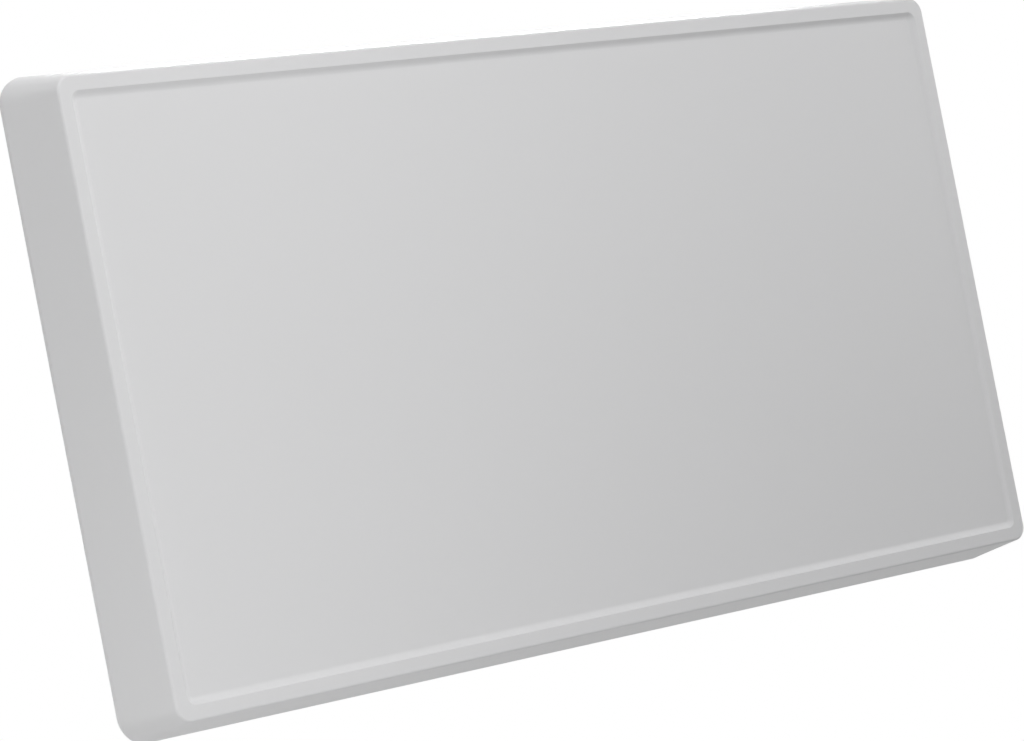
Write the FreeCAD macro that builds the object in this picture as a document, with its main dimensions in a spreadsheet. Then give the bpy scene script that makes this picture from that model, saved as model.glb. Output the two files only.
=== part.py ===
"""Flat satellite antenna: a horn array behind a plain moulded front cover, with its LNB in the rear cover.

Frame: X across, Z up, the face looks along -Y. The origin is the centre of the four bracket holes on the
back, on the outer face of their rails. A "station" is a distance forward of that face, so a station of 58 is Y = -58.
Lengths are in millimetres.
"""
import FreeCAD, Part
import os
import re

import Sketcher
from FreeCAD import Vector

SIZES = {
    # Front cover: one moulding with flared sides, a raised rim and a sunken front panel
    "panel_width": 547.0,       # outline at the rear edge of the sides
    "panel_height": 277.0,
    "side_depth": 30.5,         # rear edge of the sides to front rim
    "back_depth": 27.5,         # bracket rails to rear edge of the sides
    "side_draft": 5.5,          # how far each side leans in over its depth
    "outline_corner": 12.5,     # corner radius at the rear edge; it narrows with the draft
    "cover_wall": 3.0,
    "rim_width": 6.4,           # front edge to the mouth of the sunken panel
    "rim_round": 1.2,
    "recess_depth": 1.7,
    "recess_slope": 2.3,        # run of the slanted wall round the sunken panel
    "recess_corner": 2.0,
    "recess_round": 4.0,        # where the slanted wall runs out into the panel
    "panel_thickness": 2.5,
    # Screws that close the two covers
    "cover_screw_pitch": 200.0,     # along the top and bottom edges
    "cover_boss": 9.0,
    "boss_gap": 0.5,            # bosses to the rear cover's lip and to the stack
    "cover_screw_radius": 1.75,
    "cover_screw_length": 13.0,
    "cover_head_flats": 7.0,
    "cover_head_height": 2.6,
    "head_room": 2.0,           # screw heads to the raised field
    "screw_gap": 0.05,          # thread to its hole, on the radius
    "hole_gap": 0.25,           # shank to a clearance hole, on the radius
    # Rear cover: flange, shallow raised field and the hump that holds the LNB
    "flange_thickness": 2.0,
    "flange_inset": 0.3,        # behind the outline of the front cover
    "field_rise": 2.0,
    "field_corner": 10.0,
    "field_bevel": 1.5,
    "rear_wall": 2.5,
    "hump_shoulder": 14.0,      # bracket rails to the sides of the hump
    "hump_room": 3.5,           # LNB lid to the hump's upper and lower walls
    "hump_corner": 14.0,
    "hump_draft": 3.0,          # how far each wall of the hump leans in
    "hump_bevel": 2.5,
    "rail_height": 2.0,         # bracket rails above the hump
    "rail_width": 18.0,
    "lip_height": 4.0,          # locating lip inside the front cover's walls
    "lip_thickness": 1.5,
    "lip_gap": 0.3,
    "rib_thickness": 2.0,
    "stop_length": 30.0,        # stops round the base plate
    "stop_gap": 0.3,
    "post_size": 6.0,           # posts that press on the LNB
    "post_spread": 30.0,        # centre to each post, across and up
    # Cover gasket in the flange's groove
    "gasket_width": 1.4,
    "gasket_thickness": 1.2,
    # Bracket inserts
    "bracket_pitch_x": 110.0,
    "bracket_pitch_z": 80.0,
    "insert_flats": 9.0,
    "insert_length": 12.0,
    "insert_bore": 2.5,         # M6, drawn at its core
    "insert_wall": 2.5,         # plastic round and under each insert
    # Antenna stack, from the base plate forward
    "seat_rise": 1.0,           # base plate in front of the flange
    "base_thickness": 1.5,
    "end_room": 19.5,           # outline to the ends of the base plate
    "base_ledge": 9.0,          # base plate beyond the ends of the stack
    "stack_border": 4.0,        # solid edge round the horns
    "feed_thickness": 4.0,
    "groove_width": 7.0,
    "groove_depth": 3.0,
    "slot_length": 12.0,
    "slot_width": 3.0,
    "slot_shift": 8.0,          # slots and feed tree of one polarisation, below the other's
    "foam_thickness": 3.3,
    "horn_web": 4.0,            # between the mouths of two horns
    "horn_throat": 22.0,
    "horn_columns": 8,
    "horn_rows": 4,
    "port_width": 16.0,
    "port_height": 7.0,
    "stake_size": 6.0,          # posts of the horn plate, staked over behind the base plate
    "stake_head": 9.0,
    "stake_head_height": 1.5,
    "stake_gap": 0.15,
    # LNB
    "lnb_room": 3.5,            # to the insert bosses on each side
    "lnb_height": 92.0,
    "lnb_flange_edge": 8.0,     # flange beyond the box
    "lnb_flange_thickness": 3.0,
    "lnb_drop": 6.0,            # box centre below the antenna's centre
    "lnb_wall": 2.5,
    "lnb_floor": 4.0,
    "lnb_rim": 1.0,             # connector hole to the rim that the lid closes
    "lid_thickness": 1.0,
    "lid_skirt": 4.0,
    "collar_wall": 2.5,         # gasket round each port
    "collar_depth": 0.8,
    "board_thickness": 1.6,
    "board_gap": 0.5,           # board edge to the box
    "board_ledge": 6.0,         # corner ledges under the board
    "probe_size": 1.2,
    "probe_reach": 8.0,         # probe ahead of the board
    "chip_size": 5.0,
    "chip_height": 0.9,
    "chip_pitch": 12.0,
    "shield_width": 42.0,
    "shield_height": 24.0,
    "shield_depth": 3.2,
    "shield_wall": 0.4,
    # F connector, on a vertical axis under the LNB
    "connector_room": 7.5,      # axis to the raised field
    "connector_boss_radius": 8.5,
    "connector_boss_rise": 2.0,     # boss below the hump's foot
    "spigot_radius": 3.5,
    "seal_radius": 6.2,
    "seal_thickness": 1.2,
    "hex_flats": 12.0,
    "hex_height": 3.0,
    "thread_radius": 4.76,
    "thread_length": 12.0,
    "connector_bore": 2.6,
    "insulator_recess": 1.5,
    "contact_radius": 0.5,
    "contact_overlap": 6.0,     # contact laid on the board
    # Breather in the lower part of the rear field
    "vent_inset_x": 95.5,       # from the outline
    "vent_inset_z": 53.5,
    "vent_head_flats": 13.0,
    "vent_head_height": 3.0,
    "vent_stem_radius": 3.0,
    "vent_stem_length": 4.0,
}

doc = FreeCAD.newDocument("flat_antenna")
sheet = doc.addObject("Spreadsheet::Sheet", "Sizes")
for row, (alias, number) in enumerate(SIZES.items(), 1):
    sheet.set(f"A{row}", alias)
    sheet.set(f"B{row}", str(number))
    sheet.setAlias(f"B{row}", alias)
doc.recompute()

# Stations and places that several pieces share, worked out from the sizes
SHARED = {
    "edge_station": "back_depth",
    "rim_station": "back_depth + side_depth",
    "front_width": "panel_width - 2 * side_draft",
    "front_height": "panel_height - 2 * side_draft",
    "panel_inside": "rim_station - recess_depth - panel_thickness",
    "lip_inset": "cover_wall + lip_gap + side_draft * lip_height / side_depth",
    "cover_screw_inset": "lip_inset + lip_thickness + boss_gap + cover_boss / 2",
    "cover_screw_z": "panel_height / 2 - (cover_screw_inset)",
    "flange_rear": "edge_station - flange_thickness",
    "field_margin": "cover_screw_inset + cover_head_flats / 2 + head_room",
    "field_width": "panel_width - 2 * (field_margin)",
    "field_height": "panel_height - 2 * (field_margin)",
    "field_outside": "flange_rear - field_rise",
    "field_inside": "field_outside + rear_wall",
    "hump_outside": "rail_height",
    "hump_inside": "rail_height + rear_wall",
    "hump_width": "bracket_pitch_x + rail_width + 2 * hump_shoulder",
    "hump_height": "2 * (lnb_foot + lid_thickness + screw_gap + hump_room + rear_wall + hump_draft)",
    "insert_boss": "insert_flats + 4 * insert_wall",
    "base_station": "edge_station + seat_rise",
    "base_front": "base_station + base_thickness",
    "feed_v_front": "base_front + feed_thickness",
    "feed_h_front": "feed_v_front + feed_thickness",
    "horn_front": "panel_inside - foam_thickness",
    "base_width": "panel_width - 2 * end_room",
    "stack_width": "base_width - 2 * base_ledge",
    "stack_height": "panel_height - 2 * (cover_screw_inset + cover_boss / 2 + boss_gap)",
    "pitch_x": "(stack_width - 2 * stack_border) / horn_columns",
    "pitch_z": "(stack_height - 2 * stack_border) / horn_rows",
    "port_rise": "pitch_z / 2",
    "connector_station": "field_outside - connector_room",
    "lnb_width": "bracket_pitch_x - (insert_boss) - 2 * lnb_room",
    "lnb_flange_rear": "base_station - lnb_flange_thickness",
    "lnb_inside": "base_station - lnb_floor",
    "lnb_foot": "lnb_drop + lnb_height / 2",
    "lnb_rear": "connector_station - spigot_radius - lnb_rim",
    "lid_rear": "lnb_rear - lid_thickness",
    "board_rear": "connector_station + contact_radius",
    "board_front": "board_rear + board_thickness",
    "connector_boss_foot": "(hump_height) / 2 + connector_boss_rise",
    "seal_foot": "connector_boss_foot + seal_thickness",
    "hex_foot": "seal_foot + hex_height",
    "thread_foot": "hex_foot + thread_length",
}


def spell(text):
    """An expression in the sheet's own aliases, from one that also uses the shared names."""
    while any(word in SHARED for word in re.findall(r"[a-z_]+", text)):
        text = re.sub(r"[a-z_]+", lambda m: f"({SHARED[m[0]]})" if m[0] in SHARED else m[0], text)
    return re.sub(r"[a-z_]+", lambda m: f"Sizes.{m[0]}" if m[0] in SIZES else m[0], text)


def value(text):
    return float(sheet.evalExpression(spell(text)))


def new_body(label):
    return doc.addObject("PartDesign::Body", label)


def origin_part(body, role):
    return next(f for f in body.Origin.OriginFeatures if f.Role == role)


def new_sketch(body, name, role, offset):
    sketch = body.newObject("Sketcher::SketchObject", f"{body.Name}_{name}")
    sketch.AttachmentSupport = [(origin_part(body, role), "")]
    sketch.MapMode = "FlatFace"
    sketch.setExpression("AttachmentOffset.Base.z", spell(offset))
    return sketch


def face_sketch(body, name, station):
    """A sketch parallel to the antenna's face; its normal looks forward."""
    return new_sketch(body, name, "XZ_Plane", station)


def level_sketch(body, name, height):
    """A horizontal sketch in X and Y; its normal looks up."""
    return new_sketch(body, name, "XY_Plane", height)


def constrain(sketch, kind, members, size):
    index = sketch.addConstraint(Sketcher.Constraint(kind, *members, value(size)))
    sketch.setExpression(f"Constraints[{index}]", spell(size))


def place_point(sketch, point, across, up):
    for kind, axis, place in (("DistanceX", -2, across), ("DistanceY", -1, up)):
        if place == "0":
            sketch.addConstraint(Sketcher.Constraint("PointOnObject", *point, axis))
        else:
            constrain(sketch, kind, (-1, 1, *point), place)


def centre_on(sketch, corner, opposite, across, up):
    """Holds two opposite points of a shape symmetric about a place."""
    middle = (-1, 1)
    if (across, up) != ("0", "0"):
        middle = (sketch.addGeometry(Part.Point(Vector(value(across), value(up), 0)), True), 1)
        place_point(sketch, middle, across, up)
    sketch.addConstraint(Sketcher.Constraint("Symmetric", *corner, *opposite, *middle))


def circle(sketch, radius, across="0", up="0"):
    centre = Vector(value(across), value(up), 0)
    index = sketch.addGeometry(Part.Circle(centre, Vector(0, 0, 1), value(radius)), False)
    constrain(sketch, "Radius", (index,), radius)
    place_point(sketch, (index, 3), across, up)


def rectangle(sketch, width, height, across="0", up="0"):
    w, d, x, z = value(width) / 2, value(height) / 2, value(across), value(up)
    corners = [Vector(x - w, z - d, 0), Vector(x + w, z - d, 0), Vector(x + w, z + d, 0), Vector(x - w, z + d, 0)]
    first = [sketch.addGeometry(Part.LineSegment(corners[i], corners[(i + 1) % 4]), False) for i in range(4)]
    for i in range(4):
        sketch.addConstraint(Sketcher.Constraint("Coincident", first[i], 2, first[(i + 1) % 4], 1))
        sketch.addConstraint(Sketcher.Constraint("Vertical" if i % 2 else "Horizontal", first[i]))
    constrain(sketch, "DistanceX", (first[0], 1, first[0], 2), width)
    constrain(sketch, "DistanceY", (first[1], 1, first[1], 2), height)
    centre_on(sketch, (first[0], 1), (first[2], 1), across, up)


def rounded_rectangle(sketch, width, height, radius, across="0", up="0"):
    r, x, z = value(radius), value(across), value(up)
    w, d = value(width) / 2 - r, value(height) / 2 - r
    quarter = 1.5707963267948966
    centres = [Vector(x + w, z - d, 0), Vector(x + w, z + d, 0), Vector(x - w, z + d, 0), Vector(x - w, z - d, 0)]
    ways = [Vector(1, 0, 0), Vector(0, 1, 0), Vector(-1, 0, 0), Vector(0, -1, 0)]
    arcs = []
    for i, centre in enumerate(centres):
        ring = Part.Circle(centre, Vector(0, 0, 1), r)
        arcs.append(sketch.addGeometry(Part.ArcOfCircle(ring, (i - 1) * quarter, i * quarter), False))
    lines = []
    for i in range(4):
        start, end = centres[i] + ways[i] * r, centres[(i + 1) % 4] + ways[i] * r
        lines.append(sketch.addGeometry(Part.LineSegment(start, end), False))
    for i in range(4):
        sketch.addConstraint(Sketcher.Constraint("Tangent", arcs[i], 2, lines[i], 1))
        sketch.addConstraint(Sketcher.Constraint("Tangent", lines[i], 2, arcs[(i + 1) % 4], 1))
        sketch.addConstraint(Sketcher.Constraint("Horizontal" if i % 2 else "Vertical", lines[i]))
    for i in range(1, 4):
        sketch.addConstraint(Sketcher.Constraint("Equal", arcs[0], arcs[i]))
    constrain(sketch, "Radius", (arcs[0],), radius)
    constrain(sketch, "DistanceX", (lines[2], 1, lines[0], 1), width)
    constrain(sketch, "DistanceY", (lines[3], 1, lines[1], 1), height)
    centre_on(sketch, (arcs[1], 3), (arcs[3], 3), across, up)


def hexagon(sketch, flats, across="0", up="0"):
    """A hexagon with two level sides."""
    reach = value(flats) / 3 ** 0.5
    middle = Vector(value(across), value(up), 0)
    turn = FreeCAD.Rotation(Vector(0, 0, 1), 60)
    corner = Vector(reach, 0, 0)
    sides = []
    for _ in range(6):
        following = turn.multVec(corner)
        sides.append(sketch.addGeometry(Part.LineSegment(middle + corner, middle + following), False))
        corner = following
    ring = sketch.addGeometry(Part.Circle(middle, Vector(0, 0, 1), reach), True)
    for i in range(6):
        sketch.addConstraint(Sketcher.Constraint("Coincident", sides[i], 2, sides[(i + 1) % 6], 1))
        sketch.addConstraint(Sketcher.Constraint("PointOnObject", sides[i], 1, ring))
    for i in range(1, 6):
        sketch.addConstraint(Sketcher.Constraint("Equal", sides[0], sides[i]))
    sketch.addConstraint(Sketcher.Constraint("Horizontal", sides[1]))
    place_point(sketch, (ring, 3), across, up)
    constrain(sketch, "Radius", (ring,), f"({flats}) / sqrt(3)")


def drawn(body, name, station, shape, places, *measures):
    """A sketch at a station with one shape at each place."""
    sketch = face_sketch(body, name + "_outline", station)
    for across, up in places:
        shape(sketch, *measures, across, up)
    return sketch


def pad(body, name, sketch, length, rearward=False):
    """Material from the sketch along its normal: forward from a face, up from a level."""
    made = body.newObject("PartDesign::Pad", f"{body.Name}_{name}")
    made.Profile = sketch
    made.Reversed = rearward
    made.setExpression("Length", spell(length))
    return made


def pocket(body, name, sketch, length, rearward=False):
    """A cut from the sketch along its normal: forward from a face, up from a level."""
    made = body.newObject("PartDesign::Pocket", f"{body.Name}_{name}")
    made.Profile = sketch
    made.Reversed = not rearward
    made.setExpression("Length", spell(length))
    return made


def grid(body, name, originals, columns, pitch_x, rows, pitch_z):
    """Copies features over columns along X and rows along Z."""
    made = body.newObject("PartDesign::LinearPattern", f"{body.Name}_{name}")
    made.Originals = originals
    made.Direction = (origin_part(body, "X_Axis"), [""])
    made.Direction2 = (origin_part(body, "Z_Axis"), [""])
    made.setExpression("Length", spell(f"({pitch_x}) * ({columns} - 1)"))
    made.setExpression("Length2", spell(f"({pitch_z}) * ({rows} - 1)"))
    made.setExpression("Occurrences", spell(columns))
    made.setExpression("Occurrences2", spell(rows))
    body.Tip = made
    return made


def edge_dress(body, kind, name, station, size):
    """Rounds or bevels every edge that lies in the plane of a station, on the body so far."""
    doc.recompute()
    base, y = body.Tip, -value(station)
    names = []
    for i, edge in enumerate(base.Shape.Edges, 1):
        box = edge.BoundBox
        if max(abs(box.YMin - y), abs(box.YMax - y)) < 1e-4:
            names.append(f"Edge{i}")
    made = body.newObject(f"PartDesign::{kind}", f"{body.Name}_{name}")
    made.Base = (base, names)
    made.setExpression("Radius" if kind == "Fillet" else "Size", spell(size))
    return made


def draft(body, name, neutral, slope, flipped):
    """Leans the walls that the last feature made; their outline stays as it is at the neutral station."""
    doc.recompute()
    base, y = body.Tip, -value(neutral)
    known = [face.CenterOfMass for face in base.BaseFeature.Shape.Faces] if base.BaseFeature else []
    walls, plane = [], None
    for i, face in enumerate(base.Shape.Faces, 1):
        box = face.BoundBox
        if box.YLength > 1e-4:
            if not any(face.CenterOfMass.isEqual(point, 1e-4) for point in known):
                walls.append(f"Face{i}")
        elif abs(box.YMin - y) < 1e-4:
            plane = f"Face{i}"
    made = body.newObject("PartDesign::Draft", f"{body.Name}_{name}")
    made.Base = (base, walls)
    made.NeutralPlane = (base, [plane])
    made.Reversed = flipped
    made.setExpression("Angle", spell(f"atan({slope})"))
    for _ in range(2):  # a new draft takes up its faces at its second recompute
        made.touch()
        doc.recompute()
    return made


def signed(across, up):
    """Every mix of signs for a place across and up."""
    xs = [across] if across == "0" else [f"-({across})", across]
    zs = [up] if up == "0" else [f"-({up})", up]
    return [(x, z) for x in xs for z in zs]


COVER_SCREWS = signed("0", "cover_screw_z") + signed("cover_screw_pitch", "cover_screw_z")
STAKES = signed("0", "1.5 * pitch_z") + signed("2 * pitch_x", "1.5 * pitch_z") + signed("3 * pitch_x", "0")
BRACKET_HOLES = signed("bracket_pitch_x / 2", "bracket_pitch_z / 2")
PORTS = signed("0", "port_rise")
VENT = [("vent_inset_x - panel_width / 2", "vent_inset_z - panel_height / 2")]
AXIS = ("0", "-(connector_station)")


def outline(sketch, inset):
    """The cover's rear outline, drawn in by an inset."""
    size = f"2 * ({inset})"
    rounded_rectangle(sketch, f"panel_width - {size}", f"panel_height - {size}", f"outline_corner - ({inset})")


def front_cover():
    """Moulded radome: flared sides, raised rim, slanted step down to the panel, screw bosses inside."""
    body = new_body("front_cover")
    sides = face_sketch(body, "side_outline", "edge_station")
    outline(sides, "0")
    pad(body, "sides", sides, "side_depth")
    draft(body, "side_lean", "edge_station", "side_draft / side_depth", True)
    edge_dress(body, "Fillet", "rim_rounding", "rim_station", "rim_round")

    recess_floor = "rim_station - recess_depth"
    floor = face_sketch(body, "recess_outline", recess_floor)
    inset = "2 * (rim_width + recess_slope)"
    rounded_rectangle(floor, f"front_width - {inset}", f"front_height - {inset}", "recess_corner")
    pocket(body, "recess", floor, "recess_depth")
    draft(body, "recess_lean", recess_floor, "recess_slope / recess_depth", True)
    edge_dress(body, "Fillet", "recess_rounding", recess_floor, "recess_round")

    hollow = face_sketch(body, "hollow_outline", "edge_station")
    outline(hollow, "cover_wall + side_draft * (panel_inside - edge_station) / side_depth")
    pocket(body, "hollow", hollow, "panel_inside - edge_station")
    draft(body, "hollow_lean", "panel_inside", "side_draft / side_depth", False)

    bosses = drawn(body, "boss", "edge_station", rectangle, COVER_SCREWS, "cover_boss", "cover_boss")
    pad(body, "bosses", bosses, "panel_inside - edge_station + panel_thickness / 2")
    pilots = drawn(body, "pilot", "edge_station", circle, COVER_SCREWS, "cover_screw_radius + screw_gap")
    pocket(body, "pilots", pilots, "cover_screw_length - flange_thickness + cover_screw_radius")
    return body


def gasket_rings(sketch):
    """Both edges of the gasket, centred on the end of the front cover's wall."""
    outline(sketch, "cover_wall / 2 - gasket_width / 2")
    outline(sketch, "cover_wall / 2 + gasket_width / 2")


def rear_cover():
    """Moulded back: screw flange, raised field, LNB hump with bracket rails, locating lip and gasket groove."""
    body = new_body("rear_cover")
    flange = face_sketch(body, "flange_outline", "flange_rear")
    outline(flange, "flange_inset")
    pad(body, "flange", flange, "flange_thickness")

    field = face_sketch(body, "field_outline", "flange_rear")
    rounded_rectangle(field, "field_width", "field_height", "field_corner")
    pad(body, "field", field, "field_rise", rearward=True)
    edge_dress(body, "Chamfer", "field_edge", "field_outside", "field_bevel")

    hump = face_sketch(body, "hump_outline", "field_outside")
    rounded_rectangle(hump, "hump_width", "hump_height", "hump_corner")
    pad(body, "hump", hump, "field_outside - hump_outside", rearward=True)
    draft(body, "hump_lean", "field_outside", "hump_draft / (field_outside - hump_outside)", False)
    edge_dress(body, "Chamfer", "hump_edge", "hump_outside", "hump_bevel")
    sides = signed("bracket_pitch_x / 2", "0")
    rails = drawn(body, "rail", "0", rectangle, sides, "rail_width", "bracket_pitch_z + rail_width")
    pad(body, "rails", rails, "rail_height + rear_wall / 2")
    boss = level_sketch(body, "socket_boss_outline", "-(connector_boss_foot)")
    circle(boss, "connector_boss_radius", *AXIS)
    pad(body, "socket_boss", boss, "connector_boss_rise + hump_draft + rear_wall / 2")

    room = ("field_width - 2 * rear_wall", "field_height - 2 * rear_wall")
    hollow = face_sketch(body, "field_hollow_outline", "edge_station")
    rounded_rectangle(hollow, *room, "field_corner - rear_wall")
    pocket(body, "field_hollow", hollow, "edge_station - field_inside", rearward=True)
    wall = "2 * (rear_wall + hump_draft)"
    corner = "hump_corner - rear_wall - hump_draft"
    hollow = face_sketch(body, "hump_hollow_outline", "field_inside")
    rounded_rectangle(hollow, f"hump_width - {wall}", f"hump_height - {wall}", corner)
    pocket(body, "hump_hollow", hollow, "field_inside - (hump_inside)", rearward=True)

    inside = "hump_outside + rear_wall / 2"
    bosses = drawn(body, "insert_boss", inside, rectangle, BRACKET_HOLES, "insert_boss", "insert_boss")
    pad(body, "insert_bosses", bosses, f"insert_length + insert_wall - ({inside})")
    sockets = drawn(body, "insert_socket", "0", hexagon, BRACKET_HOLES, "insert_flats + 2 * screw_gap")
    pocket(body, "insert_sockets", sockets, "insert_length")
    places = signed("post_spread", "post_spread")
    presses = drawn(body, "press", inside, rectangle, places, "post_size", "post_size")
    pad(body, "presses", presses, f"lid_rear - ({inside})")

    lip = face_sketch(body, "lip_outline", "edge_station - flange_thickness / 2")
    outline(lip, "lip_inset")
    outline(lip, "lip_inset + lip_thickness")
    pad(body, "lip", lip, "flange_thickness / 2 + lip_height")
    groove = face_sketch(body, "groove_outline", "edge_station")
    gasket_rings(groove)
    pocket(body, "gasket_groove", groove, "gasket_thickness", rearward=True)

    under = "field_inside - rear_wall / 2"
    ribs = face_sketch(body, "rib_outline", under)
    for share in ("1 / 3", "2 / 3"):
        place = f"((hump_width) + ((field_width) - (hump_width)) * {share}) / 2"
        for across, up in signed(place, "0"):
            rectangle(ribs, "rib_thickness", f"{room[1]} + rear_wall", across, up)
    pad(body, "ribs", ribs, f"base_station - ({under})")
    beside = signed("base_width / 2 + stop_gap + rib_thickness / 2", "0")
    stops = drawn(body, "end_stop", under, rectangle, beside, "rib_thickness", "stop_length")
    pad(body, "end_stops", stops, f"base_front - ({under})")
    above = signed("cover_screw_pitch / 2", "stack_height / 2 + stop_gap + rib_thickness / 2")
    under = "edge_station - flange_thickness / 2"
    stops = drawn(body, "long_stop", under, rectangle, above, "stop_length", "rib_thickness")
    pad(body, "long_stops", stops, f"base_front - ({under})")

    holes = drawn(body, "screw_hole", "flange_rear", circle, COVER_SCREWS, "cover_screw_radius + hole_gap")
    pocket(body, "screw_holes", holes, "flange_thickness")
    hole = level_sketch(body, "socket_hole_outline", "-(connector_boss_foot)")
    circle(hole, "spigot_radius + hole_gap", *AXIS)
    pocket(body, "socket_hole", hole, "connector_boss_rise + 2 * (hump_draft + rear_wall)")
    vent = drawn(body, "vent_hole", "field_outside", circle, VENT, "vent_stem_radius + screw_gap")
    pocket(body, "vent_hole", vent, "rear_wall")
    return body


def cover_gasket():
    """Silicone cord pressed between the flange's groove and the front cover's wall."""
    body = new_body("cover_gasket")
    ring = face_sketch(body, "ring", "edge_station - gasket_thickness")
    gasket_rings(ring)
    pad(body, "cord", ring, "gasket_thickness")
    return body


def cover_screws():
    """Hexagon-headed screws from the flange into the front cover's bosses."""
    body = new_body("cover_screws")
    head = "flange_rear - cover_head_height"
    pad(body, "heads", drawn(body, "head", head, hexagon, COVER_SCREWS, "cover_head_flats"), "cover_head_height")
    shanks = drawn(body, "shank", "flange_rear", circle, COVER_SCREWS, "cover_screw_radius")
    pad(body, "shanks", shanks, "cover_screw_length")
    return body


def mount_inserts():
    """Hexagonal brass nuts moulded into the rear cover for the bracket."""
    body = new_body("mount_inserts")
    pad(body, "nuts", drawn(body, "nut", "0", hexagon, BRACKET_HOLES, "insert_flats"), "insert_length")
    pocket(body, "bores", drawn(body, "bore", "0", circle, BRACKET_HOLES, "insert_bore"), "insert_length")
    return body


def plate(label, rear, thickness, width="stack_width"):
    """One flat layer of the stack."""
    body = new_body(label)
    pad(body, "sheet", drawn(body, "sheet", rear, rectangle, [("0", "0")], width, "stack_height"), thickness)
    return body


def through(body, name, rear, thickness, places, width, height):
    """Rectangular openings right through a plate."""
    return pocket(body, name, drawn(body, name, rear, rectangle, places, width, height), thickness)


def stake_windows(body, rear, thickness):
    size = "stake_size + 2 * stake_gap"
    return through(body, "stake_windows", rear, thickness, STAKES, size, size)


def base_plate():
    """Aluminium sheet that carries the stack in front and the LNB behind."""
    body = plate("base_plate", "base_station", "base_thickness", "base_width")
    stake_windows(body, "base_station", "base_thickness")
    through(body, "ports", "base_station", "base_thickness", PORTS, "port_width", "port_height")
    return body


def feed_grooves(body, front, middle, port_up):
    """Waveguide tree in the front face: it splits evenly from the port to every horn."""

    def cut(name, places, width, height):
        bars = drawn(body, name, front, rectangle, places, width, height)
        return pocket(body, name, bars, "groove_depth", rearward=True)

    row, column = f"{middle} - pitch_z", "-3 * pitch_x"
    rows = [(column, f"{row} - pitch_z / 2"), (column, f"{row} + pitch_z / 2")]
    legs = cut("cell_legs", rows, "pitch_x + groove_width", "groove_width")
    bars = cut("cell_bars", [(column, row)], "groove_width", "pitch_z + groove_width")
    grid(body, "cell_tree", [legs, bars], "4", "2 * pitch_x", "2", "2 * pitch_z")
    places = [(x, f"{middle} + {z}") for x, z in signed("2 * pitch_x", "pitch_z")]
    cut("half_legs", places, "2 * pitch_x + groove_width", "groove_width")
    halves = [("-2 * pitch_x", middle), ("2 * pitch_x", middle)]
    cut("half_bars", halves, "groove_width", "2 * pitch_z + groove_width")
    cut("main_bar", [("0", middle)], "4 * pitch_x + groove_width", "groove_width")
    stub = f"abs({port_up} - ({middle}))"
    cut("port_stub", [("0", f"({port_up} + {middle}) / 2")], "groove_width", stub)


def feed_plate_v():
    body = plate("feed_plate_v", "base_front", "feed_thickness")
    feed_grooves(body, "feed_v_front", "-slot_shift", "-(port_rise)")
    stake_windows(body, "base_front", "feed_thickness")
    through(body, "ports", "base_front", "feed_thickness", PORTS, "port_width", "port_height")
    return body


def first_horn(shift):
    """Place of the lowest left horn, from which the horns repeat, lowered by a shift."""
    return "pitch_x * (1 - horn_columns) / 2", f"pitch_z * (1 - horn_rows) / 2 - {shift}"


def over_horns(body, name, original):
    return grid(body, name, [original], "horn_columns", "pitch_x", "horn_rows", "pitch_z")


def feed_plate_h():
    """Second tree, with a slot to each horn for the tree behind it."""
    body = plate("feed_plate_h", "feed_v_front", "feed_thickness")
    feed_grooves(body, "feed_h_front", "0", "port_rise")
    stake_windows(body, "feed_v_front", "feed_thickness")
    through(body, "port", "feed_v_front", "feed_thickness", [("0", "port_rise")], "port_width", "port_height")
    place = [first_horn("slot_shift")]
    over_horns(
        body, "slots", through(body, "slot", "feed_v_front", "feed_thickness", place, "slot_length", "slot_width")
    )
    return body


def horn_plate():
    """Metallised moulding: square horns that widen forwards, and posts staked over behind the base plate."""
    body = plate("horn_plate", "feed_h_front", "horn_front - (feed_h_front)")
    horn = body.newObject("PartDesign::SubtractiveWedge", "horn_plate_horn")
    across, up = first_horn("0")
    for axis, place, pitch in (("X", across, "pitch_x"), ("Z", up, "pitch_z")):
        for side, sign in (("min", "-"), ("max", "+")):
            horn.setExpression(f"{axis}{side}", spell(f"{place} {sign} ({pitch} - horn_web) / 2"))
            horn.setExpression(f"{axis}2{side}", spell(f"{place} {sign} horn_throat / 2"))
    horn.setExpression("Ymin", spell("-(horn_front)"))
    horn.setExpression("Ymax", spell("-(feed_h_front)"))
    over_horns(body, "horns", horn)
    posts = drawn(body, "stake", "base_station", rectangle, STAKES, "stake_size", "stake_size")
    pad(body, "stakes", posts, "feed_h_front - base_station")
    heads = drawn(body, "stake_head", "base_station", rectangle, STAKES, "stake_head", "stake_head")
    pad(body, "stake_heads", heads, "stake_head_height", rearward=True)
    return body


def foam_sheet():
    """Foam that fills the gap from the horns to the front panel and presses the stack back."""
    return plate("foam_sheet", "horn_front", "foam_thickness")


def box_sketch(body, name, station, inset):
    """The LNB box in plan, drawn in by an inset."""
    size = f"2 * ({inset})"
    return drawn(body, name, station, rectangle, [("0", "-lnb_drop")], f"lnb_width - {size}", f"lnb_height - {size}")


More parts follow.
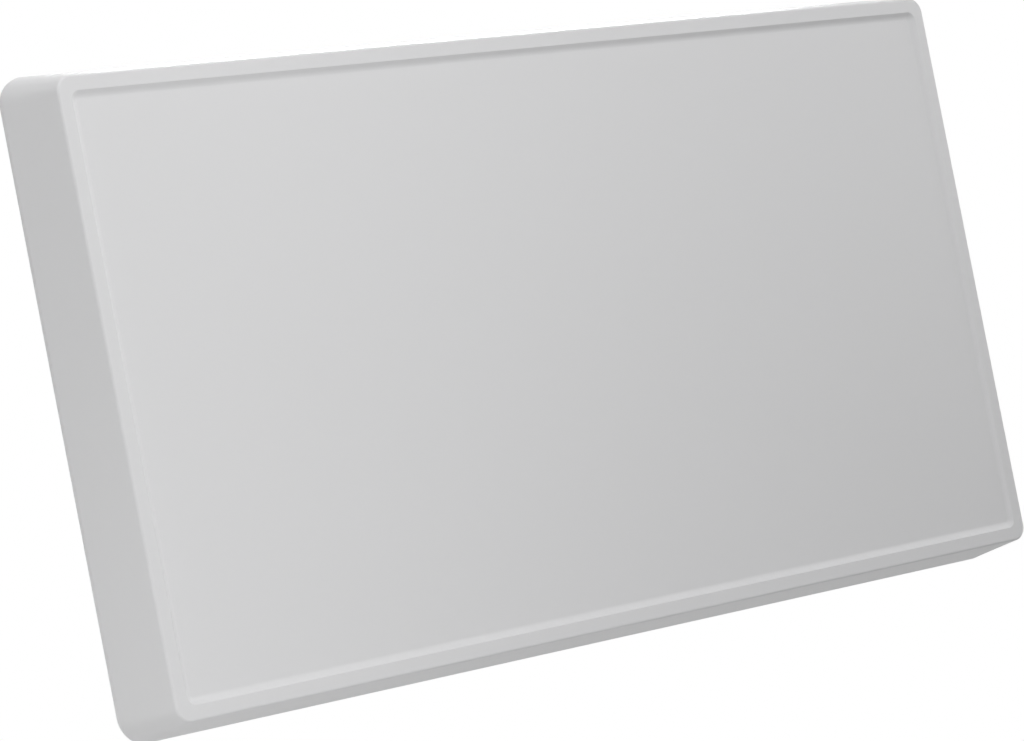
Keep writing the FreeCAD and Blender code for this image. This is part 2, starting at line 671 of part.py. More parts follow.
def lnb_housing():
    """Die-cast box on a flange: two waveguide ports in its floor and ledges for the board."""
    body = new_body("lnb_housing")
    middle = [("0", "0")]
    size = ("lnb_width + 2 * lnb_flange_edge", "lnb_height + 2 * lnb_flange_edge")
    flange = drawn(body, "flange", "lnb_flange_rear", rectangle, middle, *size)
    pad(body, "flange", flange, "lnb_flange_thickness")
    box = box_sketch(body, "box", "lnb_rear", "0")
    pad(body, "box", box, "base_station - (lnb_rear) - lnb_flange_thickness / 2")
    hollow = box_sketch(body, "hollow", "lnb_rear", "lnb_wall")
    pocket(body, "hollow", hollow, "lnb_inside - (lnb_rear)")
    reach = "(lnb_width / 2 - lnb_wall - board_ledge / 2)"
    rise = "(lnb_height / 2 - lnb_wall - board_ledge / 2)"
    corners = [(x, f"{z} - lnb_drop") for x, z in signed(reach, rise)]
    ledges = drawn(body, "ledge", "board_front", rectangle, corners, "board_ledge", "board_ledge")
    pad(body, "ledges", ledges, "lnb_inside - board_front + lnb_floor / 2")
    through(body, "ports", "lnb_inside", "lnb_floor", PORTS, "port_width", "port_height")
    collar = ("port_width + 2 * collar_wall", "port_height + 2 * collar_wall")
    seats = drawn(body, "collar_seat", "base_station", rectangle, PORTS, *collar)
    pocket(body, "collar_seats", seats, "collar_depth", rearward=True)
    hole = level_sketch(body, "socket_hole_outline", "-(lnb_foot)")
    circle(hole, "spigot_radius + screw_gap", *AXIS)
    pocket(body, "socket_hole", hole, "lnb_wall")
    return body


def port_gaskets():
    """Conductive frames that close the joint round each waveguide port."""
    body = new_body("port_gaskets")
    rear = "base_station - collar_depth"
    collar = ("port_width + 2 * collar_wall", "port_height + 2 * collar_wall")
    pad(body, "frames", drawn(body, "frame", rear, rectangle, PORTS, *collar), "collar_depth")
    through(body, "openings", rear, "collar_depth", PORTS, "port_width", "port_height")
    return body


def lnb_board():
    """Circuit board on the housing's ledges, with a window for each probe."""
    body = new_body("lnb_board")
    pad(body, "laminate", box_sketch(body, "laminate", "board_rear", "lnb_wall + board_gap"), "board_thickness")
    size = "probe_size + 2 * screw_gap"
    through(body, "probe_windows", "board_rear", "board_thickness", PORTS, size, size)
    return body


def waveguide_probes():
    """Square pins from the board into the waveguide ports."""
    body = new_body("waveguide_probes")
    pins = drawn(body, "pin", "board_rear", rectangle, PORTS, "probe_size", "probe_size")
    pad(body, "pins", pins, "board_thickness + probe_reach")
    return body


def board_chips():
    """The amplifier and mixer packages under the shield."""
    body = new_body("board_chips")
    places = [("-chip_pitch", "0"), ("0", "0"), ("chip_pitch", "0")]
    chips = drawn(body, "chip", "board_rear - chip_height", rectangle, places, "chip_size", "chip_size")
    pad(body, "chips", chips, "chip_height")
    return body


def rf_shield():
    """Folded can soldered over the chips on the board's rear face."""
    body = new_body("rf_shield")
    middle, wall = [("0", "0")], "2 * shield_wall"
    can = drawn(body, "can", "board_rear - shield_depth", rectangle, middle, "shield_width", "shield_height")
    pad(body, "can", can, "shield_depth")
    room = (f"shield_width - {wall}", f"shield_height - {wall}")
    hollow = drawn(body, "hollow", "board_rear", rectangle, middle, *room)
    pocket(body, "hollow", hollow, "shield_depth - shield_wall", rearward=True)
    return body


def lnb_lid():
    """Pressed lid whose skirt grips the box, notched where the connector passes."""
    body = new_body("lnb_lid")
    pad(body, "tray", box_sketch(body, "tray", "lid_rear", "-(lid_thickness + screw_gap)"), "lid_thickness + lid_skirt")
    pocket(body, "hollow", box_sketch(body, "hollow", "lnb_rear", "-screw_gap"), "lid_skirt")
    foot = [("0", "-(lnb_foot) - lid_thickness / 2")]
    width, height = "2 * (spigot_radius + hole_gap)", "2 * lid_thickness"
    through(body, "notch", "lnb_rear", "lid_skirt", foot, width, height)
    return body


def rod(body, name, radius, top, foot):
    """A vertical round length on the connector's axis, between two depths below the antenna's centre."""
    sketch = level_sketch(body, name + "_outline", f"-({foot})")
    circle(sketch, radius, *AXIS)
    return pad(body, name, sketch, f"{foot} - ({top})")


def bore(body, name, radius, top, foot):
    sketch = level_sketch(body, name + "_outline", f"-({foot})")
    circle(sketch, radius, *AXIS)
    return pocket(body, name, sketch, f"{foot} - ({top})")


def f_connector_body():
    """Plated brass: spigot into the LNB wall, hexagon that squeezes the seal, and the cable thread."""
    body = new_body("f_connector_body")
    top = "lnb_foot - lnb_wall"
    rod(body, "spigot", "spigot_radius", top, "seal_foot")
    nut = level_sketch(body, "nut_outline", "-(hex_foot)")
    hexagon(nut, "hex_flats", *AXIS)
    pad(body, "nut", nut, "hex_height")
    rod(body, "thread", "thread_radius", "hex_foot", "thread_foot")
    bore(body, "bore", "connector_bore", top, "thread_foot")
    return body


def f_connector_insulator():
    body = new_body("f_connector_insulator")
    top, foot = "lnb_foot - lnb_wall", "thread_foot - insulator_recess"
    rod(body, "sleeve", "connector_bore - screw_gap", top, foot)
    bore(body, "bore", "contact_radius + screw_gap", top, foot)
    return body


def f_connector_contact():
    """Pin from the board's track to just inside the insulator's mouth."""
    body = new_body("f_connector_contact")
    top = "lnb_foot - lnb_wall - board_gap - contact_overlap"
    rod(body, "pin", "contact_radius", top, "thread_foot - 2 * insulator_recess")
    return body


def connector_seal():
    """Rubber ring between the hexagon and the rear cover's boss."""
    body = new_body("connector_seal")
    rod(body, "ring", "seal_radius", "connector_boss_foot", "seal_foot")
    bore(body, "hole", "spigot_radius + screw_gap", "connector_boss_foot", "seal_foot")
    return body


def breather_vent():
    """Push-in plug that lets air through and keeps water out."""
    body = new_body("breather_vent")
    cap = drawn(body, "cap", "field_outside - vent_head_height", hexagon, VENT, "vent_head_flats")
    pad(body, "cap", cap, "vent_head_height")
    pad(body, "stem", drawn(body, "stem", "field_outside", circle, VENT, "vent_stem_radius"), "vent_stem_length")
    return body


def check(bodies):
    """Stops on a failed object, a bad solid, or a feature that changed nothing."""
    failed = [o.Name for o in doc.Objects if {"Invalid", "Error"} & set(o.State)]
    if failed:
        raise RuntimeError(f"failed objects: {failed}")
    for body in bodies:
        if body.Shape.isNull() or not body.Shape.isValid():
            raise RuntimeError(f"{body.Label} has no valid shape")
        before = 0.0
        for made in body.Group:
            if not made.isDerivedFrom("PartDesign::Feature"):
                continue
            volume = made.Shape.Volume
            if abs(volume - before) < 1e-6:
                raise RuntimeError(f"{made.Name} changed nothing")
            before = volume


def main():
    bodies = [
        front_cover(), rear_cover(), cover_gasket(), cover_screws(), mount_inserts(), base_plate(), feed_plate_v(),
        feed_plate_h(), horn_plate(), foam_sheet(), lnb_housing(), port_gaskets(), lnb_board(), waveguide_probes(),
        board_chips(), rf_shield(), lnb_lid(), f_connector_body(), f_connector_insulator(), f_connector_contact(),
        connector_seal(), breather_vent(),
    ]
    doc.recompute()
    check(bodies)
    os.makedirs("parts", exist_ok=True)
    for body in bodies:
        body.Shape.exportStep(f"parts/{body.Label}.step")
        print(f"{body.Label}: {len(body.Shape.Solids)} solids, {body.Shape.Volume / 1000:.2f} cm3")


main()
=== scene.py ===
"""The looks of the flat satellite antenna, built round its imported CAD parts."""
import math
import bmesh
import bpy
from mathutils import Matrix, Vector


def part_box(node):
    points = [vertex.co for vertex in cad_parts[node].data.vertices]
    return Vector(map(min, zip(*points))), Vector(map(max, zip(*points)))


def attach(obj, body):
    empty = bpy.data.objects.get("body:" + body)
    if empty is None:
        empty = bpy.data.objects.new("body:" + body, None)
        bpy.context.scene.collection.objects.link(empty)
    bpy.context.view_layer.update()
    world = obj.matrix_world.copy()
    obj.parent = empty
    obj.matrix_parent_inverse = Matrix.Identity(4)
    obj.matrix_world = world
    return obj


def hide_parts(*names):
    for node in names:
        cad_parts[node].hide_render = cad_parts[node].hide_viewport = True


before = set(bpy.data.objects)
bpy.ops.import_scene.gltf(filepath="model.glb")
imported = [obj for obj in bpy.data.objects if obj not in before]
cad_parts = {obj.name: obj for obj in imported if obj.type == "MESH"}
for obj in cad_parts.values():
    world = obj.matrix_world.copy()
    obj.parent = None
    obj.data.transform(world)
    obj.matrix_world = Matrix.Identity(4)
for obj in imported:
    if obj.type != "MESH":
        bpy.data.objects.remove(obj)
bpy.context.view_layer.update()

# Base plate: the flat sheet that closes the waveguides from behind and carries the LNB.
# Rolled aluminium, 1.5 mm, punched for the two ports and the posts of the horn plate.
# It lies on the rear cover's ribs, between stops at its edges.
MM = 0.001


def linear(colour):
    """A linear RGBA colour from an sRGB hex value such as "d4d5d5"."""
    channels = [int(colour[i:i + 2], 16) / 255 for i in (0, 2, 4)]
    return *(c / 12.92 if c <= 0.04045 else ((c + 0.055) / 1.055) ** 2.4 for c in channels), 1.0


def add_node(tree, kind, sockets=(), links=(), **settings):
    """One shader node with its settings, its socket values and the outputs that feed it."""
    node = tree.nodes.new(kind)
    for name, setting in settings.items():
        setattr(node, name, setting)
    for name, amount in dict(sockets).items():
        node.inputs[name].default_value = amount
    for name, output in dict(links).items():
        tree.links.new(output, node.inputs[name])
    return node


def new_material(name, colour, **sockets):
    """A material with one Principled shader, and its node tree and shader to add to."""
    material = bpy.data.materials.new(name)
    material.use_nodes = True
    shader = material.node_tree.nodes["Principled BSDF"]
    shader.inputs["Base Color"].default_value = linear(colour)
    for socket, amount in sockets.items():
        shader.inputs[socket.replace("_", " ")].default_value = amount
    return material, material.node_tree, shader


def grain(tree, shader, size, depth, drawn_out=(1, 1, 1)):
    """A fine relief all over a surface, of grains of this size and depth, drawn out or not."""
    place = add_node(tree, "ShaderNodeTexCoord")
    drawn = add_node(
        tree, "ShaderNodeMapping", {"Scale": drawn_out}, {"Vector": place.outputs["Object"]})
    grains = add_node(
        tree, "ShaderNodeTexNoise", {"Scale": 1 / size}, {"Vector": drawn.outputs["Vector"]})
    relief = add_node(tree, "ShaderNodeBump", {"Distance": depth}, {"Height": grains.outputs["Fac"]})
    tree.links.new(relief.outputs["Normal"], shader.inputs["Normal"])
    return grains


def dress(node, material, edge):
    """Gives a CAD node its material, and rounds its sharp edges by a small radius."""
    same_point = 0.002 * MM
    same_flat = math.radians(0.5)
    sharp_edge = math.radians(33)
    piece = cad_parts[node]
    piece.data.materials.clear()
    piece.data.materials.append(material)
    if "custom_normal" in piece.data.attributes:
        piece.data.attributes.remove(piece.data.attributes["custom_normal"])
    piece.data.shade_smooth()
    piece.modifiers.new("joined facets", "WELD").merge_threshold = same_point
    flats = piece.modifiers.new("whole flats", "DECIMATE")
    flats.decimate_type = "DISSOLVE"
    flats.angle_limit = same_flat
    rounding = piece.modifiers.new("rounded edges", "BEVEL")
    rounding.width = edge
    rounding.segments = 3
    rounding.limit_method = "ANGLE"
    rounding.angle_limit = sharp_edge
    piece.modifiers.new("flat faces stay flat", "WEIGHTED_NORMAL").keep_sharp = True


# Rolled aluminium sheet: fine lines along the rolling direction break up its dull reflections.
rolled_aluminium, tree, shader = new_material(
    "rolled aluminium", "c9cacc", Metallic=1.0, Roughness=0.38)
along_the_sheet = (0.02, 1, 1)
grain(tree, shader, size=1.2 * MM, depth=0.003 * MM, drawn_out=along_the_sheet)
dress("base_plate", rolled_aluminium, edge=0.2 * MM)

# Waveguide plates and horn plate: two plates of branching channels and one of 32 flared horns.
# Moulded plastic with a metal coat all over, stacked and held by posts that are staked behind.
# The coat is satin, and a little of the moulding's unevenness shows through it.
metal_coat, tree, shader = new_material(
    "metal coat on plastic", "bfc0c2", Metallic=1.0, Roughness=0.3)
grain(tree, shader, size=6 * MM, depth=0.01 * MM)
for plate in ("feed_plate_v", "feed_plate_h", "horn_plate"):
    dress(plate, metal_coat, edge=0.3 * MM)

# Foam sheet: a light closed-cell sheet between the horn mouths and the front panel.
# Cut from white polyethylene foam, and squeezed lightly when the covers are screwed together.
# Its small closed cells give a matt, finely dimpled skin.
cell_foam, tree, shader = new_material(
    "closed-cell polyethylene foam", "f0f0ed", Roughness=0.85, IOR=1.45)
foam_cell = 1.5 * MM
dimple_depth = 0.08 * MM
place = add_node(tree, "ShaderNodeTexCoord")
cells = add_node(
    tree, "ShaderNodeTexVoronoi", {"Scale": 1 / foam_cell}, {"Vector": place.outputs["Object"]})
dimples = add_node(
    tree, "ShaderNodeBump", {"Distance": dimple_depth}, {"Height": cells.outputs["Distance"]})
tree.links.new(dimples.outputs["Normal"], shader.inputs["Normal"])
dress("foam_sheet", cell_foam, edge=0.3 * MM)

# LNB housing: the box behind the base plate that turns the signal into one for the cable.
# Die-cast, with a flange that lies on the base plate and two waveguide ports in its floor.
# As cast and tumbled, so it is dull with a fine grain.
die_cast, tree, shader = new_material("tumbled die casting", "a3a5a8", Metallic=1.0, Roughness=0.52)
grain(tree, shader, size=0.9 * MM, depth=0.015 * MM)
dress("lnb_housing", die_cast, edge=0.3 * MM)

# Port gaskets: frames round the two ports that keep the signal from leaking past the flange.
# Cut from silicone filled with silver, which makes it a dull dark grey with a faint sparkle.
filled_silicone, tree, shader = new_material(
    "silver-filled silicone", "5d5e60", Roughness=0.6, IOR=1.43)
grain(tree, shader, size=0.3 * MM, depth=0.02 * MM)
dress("port_gaskets", filled_silicone, edge=0.1 * MM)

# Circuit board: the LNB's board, with its packages soldered on and the two probes at its ports.
# Glass laminate under green solder mask, which is glossy and lets the copper runs show faintly.
solder_mask, tree, shader = new_material(
    "green solder mask on laminate", "2c5f41", Roughness=0.28, IOR=1.55)
copper_run = 4 * MM
copper_gap = copper_run / 12
place = add_node(tree, "ShaderNodeTexCoord")
upright = add_node(
    tree, "ShaderNodeMapping", {"Rotation": (math.radians(90), 0, 0)},
    {"Vector": place.outputs["Object"]})
runs = add_node(
    tree, "ShaderNodeTexBrick",
    {"Scale": 1.0, "Brick Width": copper_run, "Row Height": copper_run / 2, "Mortar Size": copper_gap,
     "Color1": linear("2c5f41"), "Color2": linear("2f6746"), "Mortar": linear("254f37")},
    {"Vector": upright.outputs["Vector"]})
tree.links.new(runs.outputs["Color"], shader.inputs["Base Color"])
dress("lnb_board", solder_mask, edge=0.1 * MM)

# Packages: three plain components on the board, soldered down flat.
# Moulded in black epoxy, matt with a fine grain.
moulded_epoxy, tree, shader = new_material("black moulded epoxy", "1f2022", Roughness=0.5, IOR=1.55)
grain(tree, shader, size=0.2 * MM, depth=0.008 * MM)
dress("board_chips", moulded_epoxy, edge=0.1 * MM)

# Probes and centre contact: small pins that pick the signal up and pass it on to the cable.
# Turned brass, bright from the lathe and a warm yellow, with fine rings left by the tool.
turned_brass, tree, shader = new_material("turned brass", "d8b772", Metallic=1.0, Roughness=0.25)
grain(tree, shader, size=0.4 * MM, depth=0.004 * MM)
dress("waveguide_probes", turned_brass, edge=0.1 * MM)
dress("f_connector_contact", turned_brass, edge=0.1 * MM)

# Shield and lid: folded cans over part of the board and over the whole LNB.
# Tin plated steel sheet, pressed on.
# The tin is bright but slightly cloudy, so its gloss comes and goes in soft patches.
tin_plate, tree, shader = new_material("tin plated steel", "cbcbc8", Metallic=1.0, Roughness=0.32)
bright_tin, cloudy_tin = 0.26, 0.4
clouds = grain(tree, shader, size=9 * MM, depth=0.01 * MM)
haze = add_node(
    tree, "ShaderNodeMapRange", {"To Min": bright_tin, "To Max": cloudy_tin},
    {"Value": clouds.outputs["Fac"]})
tree.links.new(haze.outputs["Result"], shader.inputs["Roughness"])
dress("rf_shield", tin_plate, edge=0.1 * MM)
dress("lnb_lid", tin_plate, edge=0.3 * MM)

# F socket: the cable's threaded socket, screwed into the LNB through the foot of the rear cover.
# Turned from hexagon bar in brass and plated with bright nickel.
# Its 3/8-32 thread is a true helix here, and the white insulator and the seal are parts of their own.
steps_round = 48


def hexagon(flats, angle):
    """How far a hexagon reaches at an angle, with two corners on the X axis."""
    return flats / 2 / math.cos(angle % math.radians(60) - math.radians(30))


def chamfer(flats, height, inwards):
    """Rings of a hexagon's chamfered end, from its round face to its full corners further in."""
    face_share = 0.95
    slant = math.radians(30)
    face = face_share * flats / 2
    corner = flats / math.sqrt(3)
    rings = []
    for share in (0, 0.25, 0.5, 0.75, 1):
        reach = face + (corner - face) * share
        depth = (reach - face) * math.tan(slant)
        rings.append((
            height + inwards * depth,
            lambda angle, reach=reach: min(hexagon(flats, angle), reach)))
    return rings


def lathe(shape, rings):
    """Adds a turned surface from rings, each a height and a reach that may change with the angle."""
    made = []
    for height, reach in rings:
        ring = []
        for step in range(steps_round):
            angle = math.tau * step / steps_round
            out = reach(angle) if callable(reach) else reach
            ring.append(shape.verts.new((out * math.cos(angle), out * math.sin(angle), height)))
        made.append(ring)
    for low, high in zip(made, made[1:]):
        for step in range(steps_round):
            beside = (step + 1) % steps_round
            shape.faces.new((low[step], low[beside], high[beside], high[step]))


def thread(shape, foot, top, root, crest, pitch):
    """Adds a thread along a helix, which runs out into a plain circle at its root at both ends."""
    per_turn = 8
    valley, flank = 0.25, 0.5
    rows = per_turn * (math.ceil((top - foot) / pitch) + 3)
    columns = []
    for step in range(steps_round + 1):
        angle = math.tau * step / steps_round
        column = []
        for row in range(rows):
            height = foot + pitch * (row / per_turn + step / steps_round - 1)
            height = min(max(height, foot), top)
            from_valley = abs(row % per_turn / per_turn - 0.5) * 2
            ridge = min(max((from_valley - valley) / flank, 0), 1)
            run_out = min(1, (height - foot) / pitch, (top - height) / pitch)
            reach = root + (crest - root) * ridge * run_out
            column.append(shape.verts.new((reach * math.cos(angle), reach * math.sin(angle), height)))
        columns.append(column)
    for column, beside in zip(columns, columns[1:]):
        for row in range(rows - 1):
            shape.faces.new((column[row], beside[row], beside[row + 1], column[row + 1]))


def turned_pieces(name, shape, spots, lie, material):
    """Puts a turned shape, drawn upright in millimetres, at each spot, as one object."""
    same_point = 0.0001
    sharp_edge = math.radians(35)
    bmesh.ops.remove_doubles(shape, verts=shape.verts, dist=same_point)
    bmesh.ops.recalc_face_normals(shape, faces=shape.faces)
    mesh = bpy.data.meshes.new(name)
    shape.to_mesh(mesh)
    whole = bmesh.new()
    for spot in spots:
        copy = mesh.copy()
        copy.transform(Matrix.Translation(spot) @ lie @ Matrix.Scale(MM, 4))
        whole.from_mesh(copy)
        bpy.data.meshes.remove(copy)
    whole.to_mesh(mesh)
    mesh.shade_smooth()
    mesh.set_sharp_from_angle(angle=sharp_edge)
    mesh.materials.append(material)
    piece = bpy.data.objects.new(name, mesh)
    bpy.context.scene.collection.objects.link(piece)
    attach(piece, "root")
    return piece


nickel, tree, shader = new_material(
    "nickel plate on turned brass", "cfccc4", Metallic=1.0, Roughness=0.2)
grain(tree, shader, size=0.5 * MM, depth=0.003 * MM)
low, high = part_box("f_connector_body")
body_length = (high.z - low.z) / MM
thread_length = 12.0
thread_reach = 4.76
thread_pitch = 25.4 / 32
thread_depth = 0.613 * thread_pitch
thread_root = thread_reach - thread_depth
hex_flats = 12.0
hex_height = 3.0
hex_top = thread_length + hex_height
spigot = 3.5
bore = 2.6
softened = 0.25
socket_shape = bmesh.new()
lathe(socket_shape, [
    (thread_length, thread_root),
    *chamfer(hex_flats, thread_length, 1),
    *reversed(chamfer(hex_flats, hex_top, -1)),
    (hex_top, spigot),
    (body_length - softened, spigot),
    (body_length, spigot - softened),
    (body_length, bore),
    (softened, bore),
    (0, bore + softened),
    (0, thread_root),
])
thread(socket_shape, 0, thread_length, thread_root, thread_reach, thread_pitch)
foot = Vector(((low.x + high.x) / 2, (low.y + high.y) / 2, low.z))
socket = turned_pieces("threaded_f_socket", socket_shape, [foot], Matrix.Identity(4), nickel)
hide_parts("f_connector_body")

# Insulator and seal: a sleeve that centres the contact, and a flat ring under the socket's hexagon.
# The sleeve is turned from PTFE, white and waxy, and the ring is cut from matt black rubber.
ptfe, tree, shader = new_material("turned PTFE", "eeeeea", Roughness=0.45, IOR=1.35)
grain(tree, shader, size=0.5 * MM, depth=0.01 * MM)
dress("f_connector_insulator", ptfe, edge=0.1 * MM)
black_rubber, tree, shader = new_material("black EPDM rubber", "2a2a2b", Roughness=0.7, IOR=1.5)
grain(tree, shader, size=0.4 * MM, depth=0.02 * MM)
dress("connector_seal", black_rubber, edge=0.1 * MM)

# Covers: the front cover with its sunken panel and the rear cover with its hump and bracket rails.
# Moulded in light grey ASA, an outdoor plastic that stays satin and lets the signal through.
# The mould's fine spark grain spreads each highlight softly, and is drawn coarse enough to show.
grey_asa, tree, shader = new_material("light grey moulded ASA", "d8d8d9", Roughness=0.42, IOR=1.5)
grain(tree, shader, size=0.7 * MM, depth=0.0024 * MM)
dress("rear_cover", grey_asa, edge=0.5 * MM)
dress("front_cover", grey_asa, edge=0.6 * MM)

# Cover gasket: a cord in the joint between the two covers, of which only the outer edge can be seen.
# Grey silicone, soft and slightly waxy.
silicone, tree, shader = new_material("grey silicone", "b9b9b8", Roughness=0.55, IOR=1.41)
grain(tree, shader, size=0.8 * MM, depth=0.01 * MM)
dress("cover_gasket", silicone, edge=0.1 * MM)

# Bracket inserts: four hexagon inserts in the rails, tapped M6 for the bracket's bolts.
# Turned brass, moulded in flush with the face of the rails.
low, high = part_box("mount_inserts")
insert_flats = 9.0
insert_length = (high.y - low.y) / MM
tapped_root = 3.0
tapped_crest = 2.5
tapped_pitch = 1.0
insert_softened = 0.1
insert_shape = bmesh.new()
lathe(insert_shape, [
    (0, tapped_root),
    (0, lambda angle: hexagon(insert_flats - 2 * insert_softened, angle)),
    (insert_softened, lambda angle: hexagon(insert_flats, angle)),
    (insert_length - insert_softened, lambda angle: hexagon(insert_flats, angle)),
    (insert_length, lambda angle: hexagon(insert_flats - 2 * insert_softened, angle)),
    (insert_length, tapped_root),
])
thread(insert_shape, 0, insert_length, tapped_root, tapped_crest, tapped_pitch)
towards_front = Matrix.Rotation(math.radians(90), 4, "X")
across = high.x - insert_flats / math.sqrt(3) * MM
up = high.z - insert_flats / 2 * MM
spots = [Vector((x, high.y, z)) for x in (-across, across) for z in (-up, up)]
inserts = turned_pieces("tapped_inserts", insert_shape, spots, towards_front, turned_brass)
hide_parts("mount_inserts")

# Breather: a plug with a membrane that lets the case breathe and keeps water out.
# Moulded in grey polyamide, a little darker and more matt than the covers.
polyamide, tree, shader = new_material("grey polyamide", "bdbdbb", Roughness=0.55, IOR=1.53)
grain(tree, shader, size=0.5 * MM, depth=0.01 * MM)
dress("breather_vent", polyamide, edge=0.3 * MM)

# Cover screws: six hexagon-head screws from behind, which pull the two covers together.
# Stainless steel, cold formed, so the heads are bright with a faint satin.
# Their coarse thread cuts its own way into the front cover's bosses.
stainless, tree, shader = new_material(
    "cold formed stainless steel", "b9babc", Metallic=1.0, Roughness=0.3)
grain(tree, shader, size=0.6 * MM, depth=0.006 * MM)
low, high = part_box("cover_screws")
head_flats = 7.0
head_height = 2.6
screw_length = (high.y - low.y) / MM
screw_root = 1.4
screw_crest = 1.75
screw_pitch = 1.27
screw_tip = 0.5
screw_shape = bmesh.new()
lathe(screw_shape, [
    (0, 0),
    *chamfer(head_flats, 0, 1),
    *reversed(chamfer(head_flats, head_height, -1)),
    (head_height, screw_root),
])
thread(screw_shape, head_height, screw_length - screw_tip, screw_root, screw_crest, screw_pitch)
lathe(screw_shape, [
    (screw_length - screw_tip, screw_root),
    (screw_length, screw_root - screw_tip),
    (screw_length, 0),
])
across = high.x - head_flats / math.sqrt(3) * MM
up = high.z - head_flats / 2 * MM
spots = [Vector((x, high.y, z)) for x in (-across, 0, across) for z in (-up, up)]
screws = turned_pieces("hexagon_screws", screw_shape, spots, towards_front, stainless)
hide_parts("cover_screws")

# Floor and room: a plain pale floor well below the antenna, in an even white room.
# To the camera and in reflections the room is plain white, and it gives only a little light.
# The floor is mostly that white too, and takes the rest from the lamps, so that it keeps the shadow.
floor_drop = 800 * MM
floor_half = 5000 * MM
floor_white = 0.8
all_white_at = 0.9 * floor_half
room_light = 0.03
mesh = bpy.data.meshes.new("floor")
corners = [(-1, -1), (1, -1), (1, 1), (-1, 1)]
mesh.from_pydata(
    [(x * floor_half, y * floor_half, -floor_drop) for x, y in corners], [], [(0, 1, 2, 3)])
floor = bpy.data.objects.new("floor", mesh)
bpy.context.scene.collection.objects.link(floor)


def seen_or_mirrored(tree):
    """One for a ray from the camera, off gloss or through glass, and nought for plain light."""
    ray = add_node(tree, "ShaderNodeLightPath")
    both = {0: ray.outputs["Is Glossy Ray"], 1: ray.outputs["Is Transmission Ray"]}
    mirrored = add_node(tree, "ShaderNodeMath", (), both, operation="MAXIMUM")
    both = {0: ray.outputs["Is Camera Ray"], 1: mirrored.outputs["Value"]}
    return add_node(tree, "ShaderNodeMath", (), both, operation="MAXIMUM").outputs["Value"]


# Painted floor: matt and pale from above, and see-through from below, so that it hides nothing there.
# Far out it is as white as the room, so that no edge shows between them.
painted_floor, tree, shader = new_material("pale painted floor", "dedede", Roughness=0.9)
mesh.materials.append(painted_floor)
place = add_node(tree, "ShaderNodeTexCoord")
far = add_node(tree, "ShaderNodeVectorMath", (), {0: place.outputs["Object"]}, operation="LENGTH")
whiter = add_node(
    tree, "ShaderNodeMapRange",
    {"From Min": floor_drop, "From Max": all_white_at, "To Min": floor_white},
    {"Value": far.outputs["Value"]})
both = {0: whiter.outputs["Result"], 1: seen_or_mirrored(tree)}
share = add_node(tree, "ShaderNodeMath", (), both, operation="MULTIPLY")
white = add_node(tree, "ShaderNodeEmission")
pale = add_node(
    tree, "ShaderNodeMixShader", (),
    {0: share.outputs["Value"], 1: shader.outputs["BSDF"], 2: white.outputs["Emission"]})
side = add_node(tree, "ShaderNodeNewGeometry")
clear = add_node(tree, "ShaderNodeBsdfTransparent")
one_sided = add_node(
    tree, "ShaderNodeMixShader", (),
    {0: side.outputs["Backfacing"], 1: pale.outputs["Shader"], 2: clear.outputs["BSDF"]})
tree.links.new(one_sided.outputs["Shader"], tree.nodes["Material Output"].inputs["Surface"])

world = bpy.data.worlds.new("white room")
bpy.context.scene.world = world
world.use_nodes = True
tree = world.node_tree
seen = seen_or_mirrored(tree)
strength = add_node(tree, "ShaderNodeMapRange", {"To Min": room_light, "To Max": 1.0}, {"Value": seen})
room = tree.nodes["Background"]
room.inputs["Color"].default_value = (1, 1, 1, 1)
tree.links.new(strength.outputs["Result"], room.inputs["Strength"])

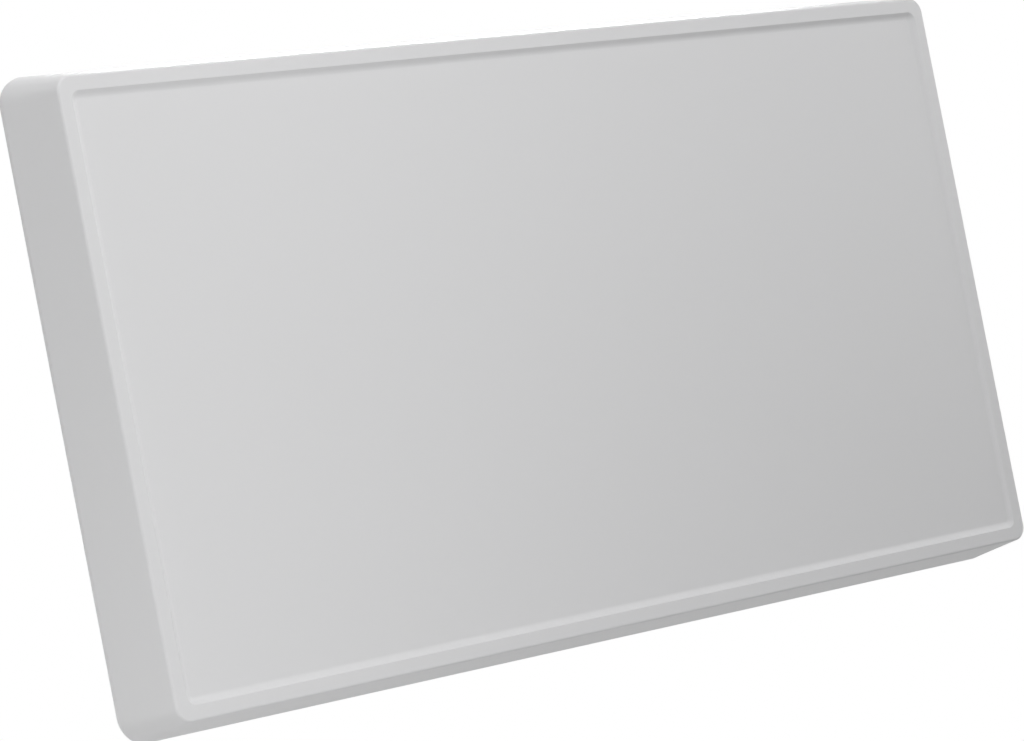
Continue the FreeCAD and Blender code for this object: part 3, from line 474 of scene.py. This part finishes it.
# Lamps: broad soft lamps round the antenna, as in a studio, at places in millimetres.
# The near ones stand by the left end, so that the panel darkens gently towards its lower right.
# The ones overhead light the top edge. The two behind are narrow, and their light rakes over the back.
all_round = 180
narrow = 60
lamps = {
    "near low left": ((-450, -500, -250), 400, 1.26, all_round),
    "near top left": ((-300, -600, 300), 400, 0.98, all_round),
    "left": ((-1200, 350, 100), 800, 0.62, all_round),
    "lower left": ((-1000, 200, -250), 400, 0.56, all_round),
    "low left": ((-700, 0, -600), 400, 0.66, all_round),
    "top left": ((-800, 100, 700), 500, 2.89, all_round),
    "right": ((1000, -350, 200), 600, 1.43, all_round),
    "front right": ((600, -1200, 700), 700, 2.7, all_round),
    "top": ((100, 50, 1100), 900, 1.96, all_round),
    "top front": ((0, -700, 900), 700, 4.94, all_round),
    "low front": ((250, -450, -450), 300, 0.18, all_round),
    "back right": ((900, 950, 250), 600, 1.6, narrow),
    "back low": ((-700, 1100, -300), 500, 0.45, narrow),
}
for name, (spot, size, power, spread) in lamps.items():
    lamp = bpy.data.lights.new(name, "AREA")
    lamp.shape = "DISK"
    lamp.size = size * MM
    lamp.energy = power
    lamp.spread = math.radians(spread)
    holder = bpy.data.objects.new(name, lamp)
    holder.location = Vector(spot) * MM
    holder.rotation_euler = (-holder.location).to_track_quat("-Z", "Y").to_euler()
    holder.visible_camera = False
    bpy.context.scene.collection.objects.link(holder)

# Camera: a long lens two metres away, low and well to the left, turned about its own axis.
# Its place and turn were found from the straight edges of the antenna in the photograph.
aim = Vector((-48.3, -57.8, -13.7)) * MM
distance = 1998.8 * MM
heading = math.radians(43.88)
rise = math.radians(1.911)
turn = math.radians(-11.02)
lens = 161.37
sensor = 36.0
sees_as_far_as = 50.0
sight = Vector((math.sin(heading) * math.cos(rise), math.cos(heading) * math.cos(rise), math.sin(rise)))
camera = bpy.data.objects.new("camera", bpy.data.cameras.new("camera"))
camera.data.lens = lens
camera.data.sensor_width = sensor
camera.data.sensor_fit = "HORIZONTAL"
camera.data.clip_end = sees_as_far_as
level = sight.to_track_quat("-Z", "Y").to_matrix()
tilted = level @ Matrix.Rotation(turn, 3, "Z")
camera.matrix_world = Matrix.Translation(aim - sight * distance) @ tilted.to_4x4()
bpy.context.scene.collection.objects.link(camera)
bpy.context.scene.camera = camera
bpy.context.scene.view_settings.view_transform = "Standard"
